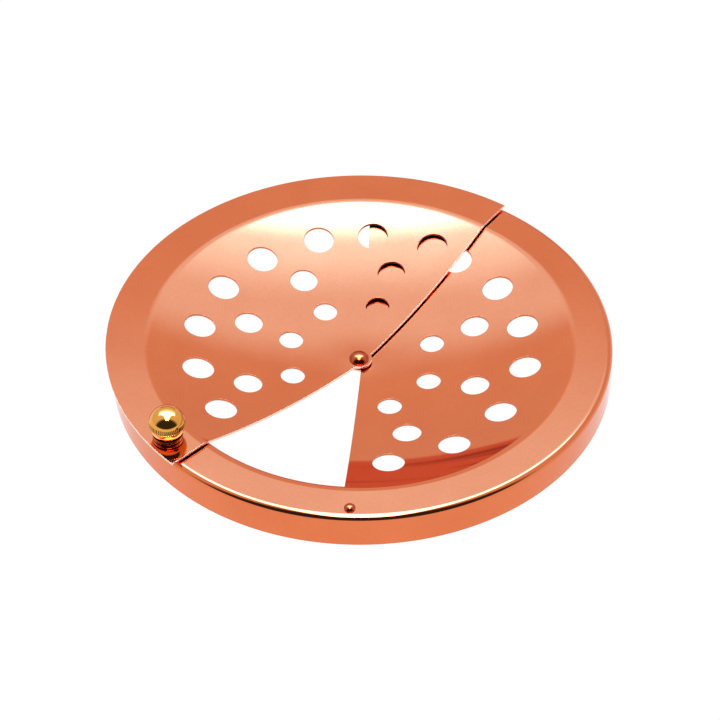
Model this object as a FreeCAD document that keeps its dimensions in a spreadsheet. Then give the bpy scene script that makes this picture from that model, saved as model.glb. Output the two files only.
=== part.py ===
"""Rotary strainer lid: a dished, perforated plate with a turned-down skirt and a swivelling half cover.

Frame: +Z up, millimetres. The origin is on the rim's axis, in the plane that the skirt stands on.
The pivot is a little off the rim's axis, and the cover's own sizes are measured from the pivot.
Angles are measured about +Z from +X. The half cover is drawn part open, as it is left in use.
"""

import math
import os

import FreeCAD
import Part
import Sketcher

# alias, value, note. Lengths are in millimetres and angles in degrees.
DIMENSIONS = (
    ("sheet", 0.8, "thickness of both copper sheets"),
    ("rim_radius", 85.0, "outside of the skirt"),
    ("skirt_height", 12.2, "bench to top of flange"),
    ("corner_radius", 2.2, "outside bend between flange and skirt"),
    ("flange_inner", 73.0, "radius where the flange becomes flat"),
    ("blend_radius", 8.0, "soft bend between dish and flange"),
    ("dish_depth", 10.4, "top of flange down to the pivot seat"),
    ("seat_radius", 5.0, "flat seat under the pivot"),
    ("plate_gap", 0.7, "air between the base plate and the cover"),
    ("pivot_x", -1.0, "pivot axis to the left of the rim's axis"),
    ("pivot_y", -0.5, "pivot axis in front of the rim's axis"),
    ("cover_radius", 85.7, "pivot axis to the outer edge of the cover"),
    ("opening_from", 87.0, "first straight edge of the base opening"),
    ("opening_to", 265.0, "last straight edge of the base opening"),
    ("opening_radius", 70.5, "curved edge of the base opening"),
    ("hub_radius", 4.8, "base metal left around the pivot"),
    ("cover_from", 53.7, "direction of the cover's first straight edge"),
    ("cover_to", 223.4, "direction of the cover's last straight edge, beside the knob"),
    ("edge_offset", 2.0, "how far each straight edge of the cover passes outside the pivot"),
    ("ear_radius", 4.4, "cover metal left around the pivot"),
    ("trim_radius", 100.0, "beyond every rim, for cutting a sector away"),
    ("rings_x", 0.7, "centre of the cover's rings of holes to the right of the pivot"),
    ("rings_y", 1.0, "centre of the cover's rings of holes behind the pivot"),
    ("outer_ring", 56.0, "radius of the outer ring of holes"),
    ("middle_ring", 41.2, "radius of the middle ring of holes"),
    ("inner_ring", 25.2, "radius of the inner ring of holes"),
    ("outer_hole", 5.3, "hole radius in the outer ring"),
    ("middle_hole", 4.8, "hole radius in the middle ring"),
    ("inner_hole", 4.1, "hole radius in the inner ring"),
    ("pivot_shank", 1.6, "pivot rivet shank radius"),
    ("pivot_play", 0.05, "running clearance of the cover on the pivot"),
    ("pivot_head", 3.3, "pivot rivet head radius"),
    ("pivot_head_edge", 0.5, "upright edge of the pivot head"),
    ("pivot_head_height", 2.4, "top of the pivot head above its underside"),
    ("spacer_radius", 3.7, "spacer washer radius"),
    ("washer_radius", 3.5, "rivet washer radius"),
    ("washer_thickness", 0.4, "rivet washer thickness"),
    ("tail_radius", 2.5, "peened tail radius"),
    ("tail_height", 0.45, "peened tail height"),
    ("stop_reach", 80.5, "rim's axis to stop pin"),
    ("stop_angle", 266.8, "angle of the stop pin"),
    ("stop_head", 1.85, "stop pin head radius"),
    ("stop_head_edge", 0.5, "upright edge of the stop head"),
    ("stop_head_height", 1.5, "stop head height above the flange"),
    ("stop_shank", 1.0, "stop pin shank radius"),
    ("knob_reach", 78.5, "pivot axis to knob"),
    ("knob_angle", 216.9, "angle of the knob"),
    ("knob_ball", 6.05, "knob ball radius"),
    ("knob_centre", 5.7, "height of the ball's centre above the cover"),
    ("knob_flat", 2.2, "height of the ball's flat underside above the cover"),
    ("knob_neck", 3.2, "radius of the neck under the ball"),
    ("knob_foot", 5.0, "radius of the knob's foot"),
    ("knob_foot_height", 1.5, "height of the knob's foot"),
    ("screw_radius", 1.5, "knob screw radius"),
    ("screw_length", 4.6, "length of screw inside the knob"),
    ("screw_head", 2.9, "knob screw head radius"),
    ("screw_head_height", 0.6, "knob screw head thickness"),
    ("slot_width", 0.7, "width of the screwdriver slot"),
    ("slot_depth", 0.3, "depth of the screwdriver slot"),
)

# The holes are drilled by hand, so their angles are slightly uneven: one ring to a line, in degrees.
HOLE_ANGLES = {
    "base_outer": (278.5, 302.4, 325, 349.3, 10.4, 32.2, 53, 75),
    "base_middle": (290.8, 337.2, 19.3, 60.5),
    "base_inner": (291.2, 333.1, 16.9),
    "cover_outer": (213.4, 191.1, 169.4, 147.8, 127.6, 104.9, 85.2, 62.9),
    "cover_middle": (202.1, 159.1, 118.5, 74.6),
    "cover_inner": (202.9, 161.5, 118.9, 76.4),
}

CUT_LENGTH = 60.0

START, END, CENTRE = 1, 2, 3
X_AXIS, Y_AXIS = -1, -2
ORIGIN = (-1, START)

FLANGE_TOP = "Dimensions.skirt_height"
SEAT_TOP = "Dimensions.skirt_height - Dimensions.dish_depth"
COVER_TOP = "Dimensions.skirt_height + Dimensions.plate_gap + Dimensions.sheet"
PIVOT = ("Dimensions.pivot_x", "Dimensions.pivot_y")
COVER_RINGS = ("Dimensions.rings_x", "Dimensions.rings_y")
STOP = ("Dimensions.stop_reach * cos(Dimensions.stop_angle)",
        "Dimensions.stop_reach * sin(Dimensions.stop_angle)")
KNOB = ("Dimensions.knob_reach * cos(Dimensions.knob_angle)",
        "Dimensions.knob_reach * sin(Dimensions.knob_angle)")


# Document and sketch helpers

def make_sheet(doc):
    """Write every driving dimension and hole angle into the spreadsheet, each under its alias."""
    sheet = doc.addObject("Spreadsheet::Sheet", "Dimensions")
    rows = list(DIMENSIONS)
    for ring, angles in HOLE_ANGLES.items():
        for number, angle in enumerate(angles, start=1):
            rows.append((f"{ring}_angle_{number}", angle, f"hole {number} of the {ring} ring"))
    for row, (alias, value, note) in enumerate(rows, start=1):
        sheet.set(f"A{row}", alias)
        sheet.set(f"B{row}", str(value))
        sheet.set(f"C{row}", note)
        sheet.setAlias(f"B{row}", alias)
    doc.recompute()


def make_body(doc, label, **position):
    """A body whose x, y and z position are expressions on the sheet."""
    body = doc.addObject("PartDesign::Body", label)
    body.Label = label
    for axis, expression in position.items():
        body.setExpression(f"Placement.Base.{axis}", expression)
    return body


def place(spot, height):
    """A body's position from a pair of expressions for x and y, and one for its height."""
    return {"x": spot[0], "y": spot[1], "z": height}


def on_cover(spot):
    """The position on top of the cover of a spot measured from the pivot."""
    return place([f"{start} + {part}" for start, part in zip(PIVOT, spot)], COVER_TOP)


def worth(owner, expression):
    """The present value of an expression on the sheet."""
    return float(owner.evalExpression(expression))


def add_sketch(body, name, plane):
    """A sketch on one of the body's own origin planes."""
    sketch = body.newObject("Sketcher::SketchObject", name)
    planes = {feature.Role: feature for feature in body.Origin.OriginFeatures}
    sketch.AttachmentSupport = (planes[plane], "")
    sketch.MapMode = "FlatFace"
    return sketch


def constrain(sketch, kind, *parts):
    return sketch.addConstraint(Sketcher.Constraint(kind, *parts))


def drive(sketch, name, expression, kind, *parts):
    """Add a dimension to the sketch and drive it from the sheet. Angles are in degrees."""
    value = worth(sketch, expression)
    if kind == "Angle":
        value = math.radians(value)
    index = constrain(sketch, kind, *parts, value)
    sketch.renameConstraint(index, name)
    sketch.setExpression(f"Constraints.{name}", expression)


def line(start, end):
    return Part.LineSegment(FreeCAD.Vector(*start, 0), FreeCAD.Vector(*end, 0))


def circle(centre, radius):
    return Part.Circle(FreeCAD.Vector(*centre, 0), FreeCAD.Vector(0, 0, 1), radius)


def arc(centre, radius, start_angle, end_angle):
    """An arc drawn anticlockwise between two angles in degrees."""
    return Part.ArcOfCircle(circle(centre, radius), math.radians(start_angle), math.radians(end_angle))


def touching_ends(first, second):
    """Which end of each piece the two share."""
    first_ends = {START: first.StartPoint, END: first.EndPoint}
    second_ends = {START: second.StartPoint, END: second.EndPoint}
    pairs = [(one, other) for one in first_ends for other in second_ends]
    return min(pairs, key=lambda pair: first_ends[pair[0]].distanceToPoint(second_ends[pair[1]]))


def draw_loop(sketch, pieces, corners):
    """Draw the pieces end to end: tangent to each other, except after the ones named in corners."""
    names = list(pieces)
    ids = {name: sketch.addGeometry(pieces[name], False) for name in names}
    for name, following in zip(names, names[1:] + names[:1]):
        end, start = touching_ends(pieces[name], pieces[following])
        kind = "Coincident" if name in corners else "Tangent"
        constrain(sketch, kind, ids[name], end, ids[following], start)
    return ids


def revolve(body, sketch):
    """Turn a profile drawn on the XZ plane once around the body's Z axis."""
    feature = body.newObject("PartDesign::Revolution", f"{body.Label}_turned")
    feature.Profile = sketch
    feature.ReferenceAxis = (sketch, ["V_Axis"])
    feature.Angle = 360.0


def cut_through(body, name, sketch):
    """Cut a sketch on the XY plane through the whole body, up and down."""
    pocket = body.newObject("PartDesign::Pocket", name)
    pocket.Profile = sketch
    pocket.SideType = "Symmetric"
    pocket.Length = CUT_LENGTH


# Sheet metal

def dish_pieces(owner, top):
    """Seat, dish and soft bend of one sheet, whose flange top is at height top.

    The dish is an arc, tangent to the flat seat under the pivot and to the bend at the flange.
    """
    seat = worth(owner, "Dimensions.seat_radius")
    flange = worth(owner, "Dimensions.flange_inner")
    depth = worth(owner, "Dimensions.dish_depth")
    blend = worth(owner, "Dimensions.blend_radius")
    sheet = worth(owner, "Dimensions.sheet")
    bottom = top - depth
    centres_apart = ((flange - seat) ** 2 + depth ** 2) / (2.0 * depth)
    dish = centres_apart - blend
    lean = math.degrees(math.asin((flange - seat) / centres_apart))
    dish_centre = (seat, bottom + dish)
    blend_centre = (flange, top - blend)
    upper = {
        "seat_top": line((0, bottom), (seat, bottom)),
        "dish_top": arc(dish_centre, dish, 270, 270 + lean),
        "blend_top": arc(blend_centre, blend, 90, 90 + lean),
    }
    lower = {
        "blend_under": arc(blend_centre, blend - sheet, 90, 90 + lean),
        "dish_under": arc(dish_centre, dish + sheet, 270, 270 + lean),
        "seat_under": line((seat, bottom - sheet), (0, bottom - sheet)),
        "axis": line((0, bottom - sheet), (0, bottom)),
    }
    return upper, lower


def constrain_dish(sketch, ids, height):
    """Hold the stretch of profile that both sheets share. height is the level of the flange top."""
    for name in ("seat_top", "seat_under", "flange_top", "flange_under"):
        constrain(sketch, "Horizontal", ids[name])
    constrain(sketch, "Vertical", ids["axis"])
    constrain(sketch, "PointOnObject", ids["seat_top"], START, Y_AXIS)
    constrain(sketch, "Coincident", ids["dish_top"], CENTRE, ids["dish_under"], CENTRE)
    constrain(sketch, "Coincident", ids["blend_top"], CENTRE, ids["blend_under"], CENTRE)
    drive(sketch, "seat", "Dimensions.seat_radius", "DistanceX", *ORIGIN, ids["seat_top"], END)
    drive(sketch, "blend", "Dimensions.blend_radius", "Radius", ids["blend_top"])
    drive(sketch, "flange", "Dimensions.flange_inner", "DistanceX", *ORIGIN, ids["flange_top"], START)
    drive(sketch, "level", height, "DistanceY", *ORIGIN, ids["flange_top"], START)
    drive(sketch, "depth", "Dimensions.dish_depth", "DistanceY",
          ids["seat_top"], START, ids["flange_top"], START)


def base_profile(body):
    """Dish, flange and turned-down skirt in one sheet."""
    top = worth(body, FLANGE_TOP)
    flange = worth(body, "Dimensions.flange_inner")
    rim = worth(body, "Dimensions.rim_radius")
    bend = worth(body, "Dimensions.corner_radius")
    sheet = worth(body, "Dimensions.sheet")
    upper, lower = dish_pieces(body, top)
    outside = {
        "flange_top": line((flange, top), (rim - bend, top)),
        "bend_outside": arc((rim - bend, top - bend), bend, 0, 90),
        "skirt_outside": line((rim, top - bend), (rim, 0)),
        "skirt_edge": line((rim, 0), (rim - sheet, 0)),
        "skirt_inside": line((rim - sheet, 0), (rim - sheet, top - bend)),
        "bend_inside": arc((rim - bend, top - bend), bend - sheet, 0, 90),
        "flange_under": line((rim - bend, top - sheet), (flange, top - sheet)),
    }

    sketch = add_sketch(body, "base_profile", "XZ_Plane")
    corners = ("skirt_outside", "skirt_edge", "seat_under", "axis")
    ids = draw_loop(sketch, {**upper, **outside, **lower}, corners)
    constrain_dish(sketch, ids, FLANGE_TOP)
    constrain(sketch, "Vertical", ids["skirt_outside"])
    constrain(sketch, "Vertical", ids["skirt_inside"])
    constrain(sketch, "Horizontal", ids["skirt_edge"])
    constrain(sketch, "PointOnObject", ids["skirt_edge"], START, X_AXIS)
    constrain(sketch, "Coincident", ids["bend_outside"], CENTRE, ids["bend_inside"], CENTRE)
    drive(sketch, "rim", "Dimensions.rim_radius", "DistanceX", *ORIGIN, ids["skirt_edge"], START)
    drive(sketch, "corner", "Dimensions.corner_radius", "Radius", ids["bend_outside"])
    drive(sketch, "thickness", "Dimensions.sheet", "DistanceX",
          ids["skirt_edge"], END, ids["skirt_edge"], START)
    return sketch


def cover_profile(body):
    """Dish and flange of the cover, which follows the base plate with a gap between them."""
    top = worth(body, COVER_TOP)
    flange = worth(body, "Dimensions.flange_inner")
    rim = worth(body, "Dimensions.cover_radius")
    sheet = worth(body, "Dimensions.sheet")
    upper, lower = dish_pieces(body, top)
    outside = {
        "flange_top": line((flange, top), (rim, top)),
        "rim_edge": line((rim, top), (rim, top - sheet)),
        "flange_under": line((rim, top - sheet), (flange, top - sheet)),
    }

    sketch = add_sketch(body, "cover_profile", "XZ_Plane")
    corners = ("flange_top", "rim_edge", "seat_under", "axis")
    ids = draw_loop(sketch, {**upper, **outside, **lower}, corners)
    constrain_dish(sketch, ids, COVER_TOP)
    constrain(sketch, "Vertical", ids["rim_edge"])
    drive(sketch, "rim", "Dimensions.cover_radius", "DistanceX", *ORIGIN, ids["rim_edge"], START)
    drive(sketch, "thickness", "Dimensions.sheet", "DistanceY",
          ids["rim_edge"], END, ids["rim_edge"], START)
    return sketch


def cut_sector(body, name, inner, outer, first, last, offset=None):
    """Cut away the sheet anticlockwise from the first direction to the last, between two radii.

    With an offset, both side edges move into the cut by that much, so the sheet keeps a strip
    beyond its centre. All five sizes are aliases on the sheet.
    """
    sketch = add_sketch(body, f"{name}_outline", "XY_Plane")
    near, far = (worth(sketch, f"Dimensions.{alias}") for alias in (inner, outer))
    angles = [worth(sketch, f"Dimensions.{alias}") for alias in (first, last)]
    aside = worth(sketch, f"Dimensions.{offset}") if offset else 0.0

    def meeting(angle, radius, side):
        """Where a side edge meets a circle, as polar angle and as x and y."""
        turned = angle + side * math.degrees(math.asin(aside / radius))
        along = math.radians(turned)
        return turned, (radius * math.cos(along), radius * math.sin(along))

    (first_near, first_inner), (first_far, first_outer) = (
        meeting(angles[0], radius, 1) for radius in (near, far))
    (last_near, last_inner), (last_far, last_outer) = (
        meeting(angles[1], radius, -1) for radius in (near, far))
    pieces = {
        "first_edge": line(first_inner, first_outer),
        "outer_arc": arc((0, 0), far, first_far, first_far + (last_far - first_far) % 360.0),
        "last_edge": line(last_inner, last_outer),
        "inner_arc": arc((0, 0), near, first_near, first_near + (last_near - first_near) % 360.0),
    }
    ids = draw_loop(sketch, pieces, tuple(pieces))
    for curve, alias in (("inner_arc", inner), ("outer_arc", outer)):
        constrain(sketch, "Coincident", ids[curve], CENTRE, *ORIGIN)
        drive(sketch, f"{curve}_radius", f"Dimensions.{alias}", "Radius", ids[curve])
    for side, alias in (("first_edge", first), ("last_edge", last)):
        if offset:
            drive(sketch, f"{side}_offset", f"Dimensions.{offset}", "Distance", *ORIGIN, ids[side])
        else:
            constrain(sketch, "PointOnObject", *ORIGIN, ids[side])
        drive(sketch, f"{side}_angle", f"Dimensions.{alias}", "Angle", ids[side])
    cut_through(body, name, sketch)


def drill_ring(body, ring, reach, radius, centre=None):
    """Drill one ring of drain holes, each at its own angle.

    reach and radius are aliases. centre is a pair of expressions, for a ring off the body's axis.
    """
    sketch = add_sketch(body, f"{ring}_circles", "XY_Plane")
    distance = worth(sketch, f"Dimensions.{reach}")
    size = worth(sketch, f"Dimensions.{radius}")
    middle, hub = (0.0, 0.0), ORIGIN
    if centre:
        middle = [worth(sketch, expression) for expression in centre]
        hub = (sketch.addGeometry(Part.Point(FreeCAD.Vector(*middle, 0)), True), START)
        drive(sketch, "centre_x", centre[0], "DistanceX", *ORIGIN, *hub)
        drive(sketch, "centre_y", centre[1], "DistanceY", *ORIGIN, *hub)
    for number, angle in enumerate(HOLE_ANGLES[ring], start=1):
        along = (math.cos(math.radians(angle)), math.sin(math.radians(angle)))
        spot = [start + distance * part for start, part in zip(middle, along)]
        spoke = sketch.addGeometry(line(middle, spot), True)
        hole = sketch.addGeometry(circle(spot, size), False)
        constrain(sketch, "Coincident", spoke, START, *hub)
        constrain(sketch, "Coincident", spoke, END, hole, CENTRE)
        drive(sketch, f"angle_{number}", f"Dimensions.{ring}_angle_{number}", "Angle", spoke)
        drive(sketch, f"reach_{number}", f"Dimensions.{reach}", "Distance", spoke)
        drive(sketch, f"radius_{number}", f"Dimensions.{radius}", "Radius", hole)
    cut_through(body, f"{ring}_holes", sketch)


def drill_hole(body, name, radius, across="0", along="0"):
    """Drill one hole at x across and y along from the body's axis. All three are expressions."""
    sketch = add_sketch(body, f"{name}_circle", "XY_Plane")
    centre = (worth(sketch, across), worth(sketch, along))
    hole = sketch.addGeometry(circle(centre, worth(sketch, radius)), False)
    drive(sketch, "radius", radius, "Radius", hole)
    if across == "0":
        constrain(sketch, "Coincident", hole, CENTRE, *ORIGIN)
    else:
        drive(sketch, "across", across, "DistanceX", *ORIGIN, hole, CENTRE)
        drive(sketch, "along", along, "DistanceY", *ORIGIN, hole, CENTRE)
    cut_through(body, name, sketch)


# Turned parts

def turned_part(doc, label, corners, domes=(), **position):
    """A turned part from the corners of its profile, each a pair of expressions (radius, height).

    Straight lines join the corners, except that the stretch after each corner numbered in domes
    is an arc centred on the axis.
    """
    body = make_body(doc, label, **position)
    sketch = add_sketch(body, f"{label}_profile", "XZ_Plane")
    places = [(worth(sketch, radius), worth(sketch, height)) for radius, height in corners]
    pieces = {}
    for number, (start, end) in enumerate(zip(places, places[1:] + places[:1])):
        pieces[number] = dome(start, end) if number in domes else line(start, end)
    ids = draw_loop(sketch, pieces, tuple(pieces))
    for number in domes:
        constrain(sketch, "PointOnObject", ids[number], CENTRE, Y_AXIS)
    for number, (radius, height) in enumerate(corners):
        spot = (ids[number], START)
        if radius == "0":
            constrain(sketch, "PointOnObject", *spot, Y_AXIS)
        else:
            drive(sketch, f"radius_{number}", radius, "DistanceX", *ORIGIN, *spot)
        if height == "0":
            constrain(sketch, "PointOnObject", *spot, X_AXIS)
        else:
            drive(sketch, f"height_{number}", height, "DistanceY", *ORIGIN, *spot)
    revolve(body, sketch)
    return body


def dome(start, end):
    """The anticlockwise arc between two corners of a profile whose centre is on the axis."""
    (start_radius, start_height), (end_radius, end_height) = start, end
    power = end_radius ** 2 + end_height ** 2 - start_radius ** 2 - start_height ** 2
    centre = power / (2.0 * (end_height - start_height))
    radius = math.hypot(start_radius, start_height - centre)
    start_angle = math.degrees(math.atan2(start_height - centre, start_radius))
    end_angle = math.degrees(math.atan2(end_height - centre, end_radius))
    return arc((0, centre), radius, start_angle, end_angle)


def washer(doc, label, radius, bottom, top):
    """A flat washer on the pivot shank. Its outer radius and two levels are expressions."""
    shank = "Dimensions.pivot_shank"
    corners = ((shank, bottom), (radius, bottom), (radius, top), (shank, top))
    return turned_part(doc, label, corners, **place(PIVOT, SEAT_TOP))


def make_pivot_rivet(doc):
    """Domed head, shank through cover, spacer, base and washer, and a peened tail."""
    under = "-(Dimensions.sheet + Dimensions.washer_thickness)"
    head = "Dimensions.plate_gap + Dimensions.sheet + Dimensions.pivot_play"
    corners = (
        ("0", f"{under} - Dimensions.tail_height"),
        ("Dimensions.tail_radius", under),
        ("Dimensions.pivot_shank", under),
        ("Dimensions.pivot_shank", head),
        ("Dimensions.pivot_head", head),
        ("Dimensions.pivot_head", f"{head} + Dimensions.pivot_head_edge"),
        ("0", f"{head} + Dimensions.pivot_head_height"),
    )
    return turned_part(doc, "pivot_rivet", corners, domes=(0, 5), **place(PIVOT, SEAT_TOP))


def make_stop_pin(doc):
    """Round-headed pin in the flange that both straight edges of the cover come to rest on."""
    corners = (
        ("0", "-Dimensions.sheet"),
        ("Dimensions.stop_shank", "-Dimensions.sheet"),
        ("Dimensions.stop_shank", "0"),
        ("Dimensions.stop_head", "0"),
        ("Dimensions.stop_head", "Dimensions.stop_head_edge"),
        ("0", "Dimensions.stop_head_height"),
    )
    return turned_part(doc, "stop_pin", corners, domes=(4,), **place(STOP, FLANGE_TOP))


def make_knob(doc):
    """Ball on a neck and a round foot, bored from below for its screw."""
    flat_radius = "sqrt(Dimensions.knob_ball ^ 2 - (Dimensions.knob_centre - Dimensions.knob_flat) ^ 2)"
    corners = (
        ("Dimensions.screw_radius", "0"),
        ("Dimensions.knob_foot", "0"),
        ("Dimensions.knob_foot", "Dimensions.knob_foot_height"),
        ("Dimensions.knob_neck", "Dimensions.knob_foot_height"),
        ("Dimensions.knob_neck", "Dimensions.knob_flat"),
        (flat_radius, "Dimensions.knob_flat"),
        ("0", "Dimensions.knob_centre + Dimensions.knob_ball"),
        ("0", "Dimensions.screw_length"),
        ("Dimensions.screw_radius", "Dimensions.screw_length"),
    )
    return turned_part(doc, "knob", corners, domes=(5,), **on_cover(KNOB))


def make_knob_screw(doc):
    """Flat-headed screw from under the cover into the knob."""
    head_top = "-Dimensions.sheet"
    head_bottom = "-(Dimensions.sheet + Dimensions.screw_head_height)"
    corners = (
        ("0", head_bottom),
        ("Dimensions.screw_head", head_bottom),
        ("Dimensions.screw_head", head_top),
        ("Dimensions.screw_radius", head_top),
        ("Dimensions.screw_radius", "Dimensions.screw_length"),
        ("0", "Dimensions.screw_length"),
    )
    body = turned_part(doc, "knob_screw", corners, **on_cover(KNOB))
    cut_slot(body, head_bottom)
    return body


def cut_slot(body, level):
    """Cut the screwdriver slot upwards into the head from the given level."""
    sketch = add_sketch(body, "slot_outline", "XY_Plane")
    sketch.setExpression("AttachmentOffset.Base.z", level)
    width = worth(sketch, "Dimensions.slot_width") / 2.0
    length = worth(sketch, "Dimensions.screw_head")
    pieces = {
        "front": line((-length, -width), (length, -width)),
        "right": line((length, -width), (length, width)),
        "back": line((length, width), (-length, width)),
        "left": line((-length, width), (-length, -width)),
    }
    ids = draw_loop(sketch, pieces, tuple(pieces))
    for name in ("front", "back"):
        constrain(sketch, "Horizontal", ids[name])
    for name in ("left", "right"):
        constrain(sketch, "Vertical", ids[name])
    constrain(sketch, "Symmetric", ids["front"], START, ids["back"], START, *ORIGIN)
    drive(sketch, "length", "2 * Dimensions.screw_head", "DistanceX", ids["front"], START, ids["front"], END)
    drive(sketch, "width", "Dimensions.slot_width", "DistanceY", ids["right"], START, ids["right"], END)
    pocket = body.newObject("PartDesign::Pocket", "slot")
    pocket.Profile = sketch
    pocket.setExpression("Length", "Dimensions.slot_depth")
    pocket.Reversed = True


# Sheets

def make_base_lid(doc):
    """One sheet: skirt, flange and half a perforated dish, with the other half cut out."""
    body = make_body(doc, "base_lid")
    revolve(body, base_profile(body))
    cut_sector(body, "opening", "hub_radius", "opening_radius", "opening_from", "opening_to")
    drill_ring(body, "base_outer", "outer_ring", "outer_hole")
    drill_ring(body, "base_middle", "middle_ring", "middle_hole")
    drill_ring(body, "base_inner", "inner_ring", "inner_hole")
    drill_hole(body, "pivot_hole", "Dimensions.pivot_shank", *PIVOT)
    drill_hole(body, "stop_hole", "Dimensions.stop_shank", *STOP)
    return body


def make_rotating_cover(doc):
    """One sheet: just under half a perforated dish with its flange, and an ear around the pivot."""
    body = make_body(doc, "rotating_cover", x=PIVOT[0], y=PIVOT[1])
    revolve(body, cover_profile(body))
    cut_sector(body, "cutaway", "ear_radius", "trim_radius", "cover_to", "cover_from", "edge_offset")
    drill_ring(body, "cover_outer", "outer_ring", "outer_hole", COVER_RINGS)
    drill_ring(body, "cover_middle", "middle_ring", "middle_hole", COVER_RINGS)
    drill_ring(body, "cover_inner", "inner_ring", "inner_hole", COVER_RINGS)
    drill_hole(body, "turning_hole", "Dimensions.pivot_shank + Dimensions.pivot_play")
    drill_hole(body, "screw_hole", "Dimensions.screw_radius", *KNOB)
    return body


def build(doc):
    make_sheet(doc)
    return (
        make_base_lid(doc),
        make_stop_pin(doc),
        washer(doc, "spacer_washer", "Dimensions.spacer_radius",
               "0", "Dimensions.plate_gap - Dimensions.pivot_play"),
        washer(doc, "rivet_washer", "Dimensions.washer_radius",
               "-(Dimensions.sheet + Dimensions.washer_thickness)", "-Dimensions.sheet"),
        make_pivot_rivet(doc),
        make_rotating_cover(doc),
        make_knob(doc),
        make_knob_screw(doc),
    )


def check(doc, bodies):
    """Stop if any feature failed or any body isn't one valid solid."""
    for item in doc.Objects:
        if "Invalid" in item.State or "Error" in item.State:
            raise RuntimeError(f"{item.Label} didn't rebuild: {item.State}")
    for body in bodies:
        shape = body.Shape
        if shape.isNull() or not shape.isValid() or len(shape.Solids) != 1:
            raise RuntimeError(f"{body.Label} isn't one valid solid")


def main():
    doc = FreeCAD.newDocument("rotary_strainer_lid")
    bodies = build(doc)
    doc.recompute()
    check(doc, bodies)
    os.makedirs("parts", exist_ok=True)
    for body in bodies:
        body.Shape.exportStep(os.path.join("parts", f"{body.Label}.step"))
        box = body.Shape.BoundBox
        print(f"{body.Label}: {body.Shape.Volume:.1f} mm3, z {box.ZMin:.2f} to {box.ZMax:.2f}")


main()
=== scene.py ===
"""Looks of the rotary strainer lid: finely meshed sheets, rivets and knob, their metals, studio and camera.

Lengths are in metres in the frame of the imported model: +Z up along the rim's axis, floor at z = 0.
Angles are in degrees about +Z from +X, about the rim's axis for the base and about the pivot for the cover.
"""

import math

import bpy
import numpy as np
from mathutils import Matrix, Vector
from mathutils.geometry import delaunay_2d_cdt


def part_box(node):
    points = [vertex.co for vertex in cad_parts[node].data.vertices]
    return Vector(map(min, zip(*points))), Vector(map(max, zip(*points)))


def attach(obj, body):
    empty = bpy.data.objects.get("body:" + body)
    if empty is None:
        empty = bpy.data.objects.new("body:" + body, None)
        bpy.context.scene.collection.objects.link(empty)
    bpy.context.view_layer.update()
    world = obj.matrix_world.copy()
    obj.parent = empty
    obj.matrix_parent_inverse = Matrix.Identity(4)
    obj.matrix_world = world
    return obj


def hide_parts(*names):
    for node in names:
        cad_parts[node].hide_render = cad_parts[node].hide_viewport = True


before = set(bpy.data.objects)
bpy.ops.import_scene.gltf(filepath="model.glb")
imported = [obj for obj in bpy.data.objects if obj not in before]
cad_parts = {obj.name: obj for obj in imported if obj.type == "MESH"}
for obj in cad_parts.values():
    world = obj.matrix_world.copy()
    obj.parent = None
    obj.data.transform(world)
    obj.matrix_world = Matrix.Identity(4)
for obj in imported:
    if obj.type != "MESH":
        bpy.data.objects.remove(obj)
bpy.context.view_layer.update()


# Sizes of the two sheets. Their levels and outer radii come from the frame.

SHEET = 0.0008
FLANGE_INNER = 0.073
BLEND_RADIUS = 0.008
DISH_DEPTH = 0.0104
SEAT_RADIUS = 0.005
CORNER_RADIUS = 0.0022
OPENING = (87.0, 265.0)
OPENING_RADIUS = 0.0705
HUB_RADIUS = 0.0048
COVER = (53.7, 223.4)
EDGE_OFFSET = 0.002
EAR_RADIUS = 0.0044
PIVOT_HOLE = 0.0016
TURNING_HOLE = 0.00165
STOP_SHANK = 0.001
SCREW_RADIUS = 0.0015

COVER_RINGS = (0.0007, 0.001)
RINGS = {"outer": (0.056, 0.0053), "middle": (0.0412, 0.0048), "inner": (0.0252, 0.0041)}
BASE_HOLES = {
    "outer": (278.5, 302.4, 325, 349.3, 10.4, 32.2, 53, 75),
    "middle": (290.8, 337.2, 19.3, 60.5),
    "inner": (291.2, 333.1, 16.9),
}
COVER_HOLES = {
    "outer": (213.4, 191.1, 169.4, 147.8, 127.6, 104.9, 85.2, 62.9),
    "middle": (202.1, 159.1, 118.5, 74.6),
    "inner": (202.9, 161.5, 118.9, 76.4),
}

# Fineness of the sheets' meshes, and how far their sharp edges are eased. Mesh points stay CLEARANCE
# times their own spacing away from every edge, and a ring guards each side of the blend, BLEND_MARGIN off.

EDGE = 0.00006
LOOP_STEP = 0.0008
HOLE_STEPS = 48
GRID_STEP = 0.0016
FIRST_RING = 0.0018
BLEND_RINGS = 11
BLEND_MARGIN = 0.0004
FLANGE_RINGS = 6
BEND_STEPS = 12
ROUND_STEPS = 720
CLEARANCE = 0.45

# Material numbers of a sheet and of the knob.

# Sheet: the face, hole walls darkened as painted shade, and the sawn outline's wall painted pale as a
# highlight.
FACE, DRILLED, SAWN = 0, 1, 2
# Knob: polished brass, near-black painted shade, and the foot's side painted redder as a reflection of the
# copper.
POLISHED, PAINTED_SHADE, FOOT = 0, 1, 2


def node_centre(name):
    low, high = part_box(name)
    return (low.x + high.x) / 2, (low.y + high.y) / 2


_, base_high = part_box("base_lid")
cover_low, cover_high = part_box("rotating_cover")
FLANGE_TOP = base_high.z
RIM_RADIUS = base_high.x
COVER_TOP = cover_high.z
PIVOT = node_centre("pivot_rivet")
COVER_RADIUS = min(PIVOT[0] - cover_low.x, cover_high.y - PIVOT[1])

CENTRES_APART = ((FLANGE_INNER - SEAT_RADIUS) ** 2 + DISH_DEPTH ** 2) / (2 * DISH_DEPTH)
DISH_RADIUS = CENTRES_APART - BLEND_RADIUS
LEAN = math.asin((FLANGE_INNER - SEAT_RADIUS) / CENTRES_APART)


# Shape of the dished sheets

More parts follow.
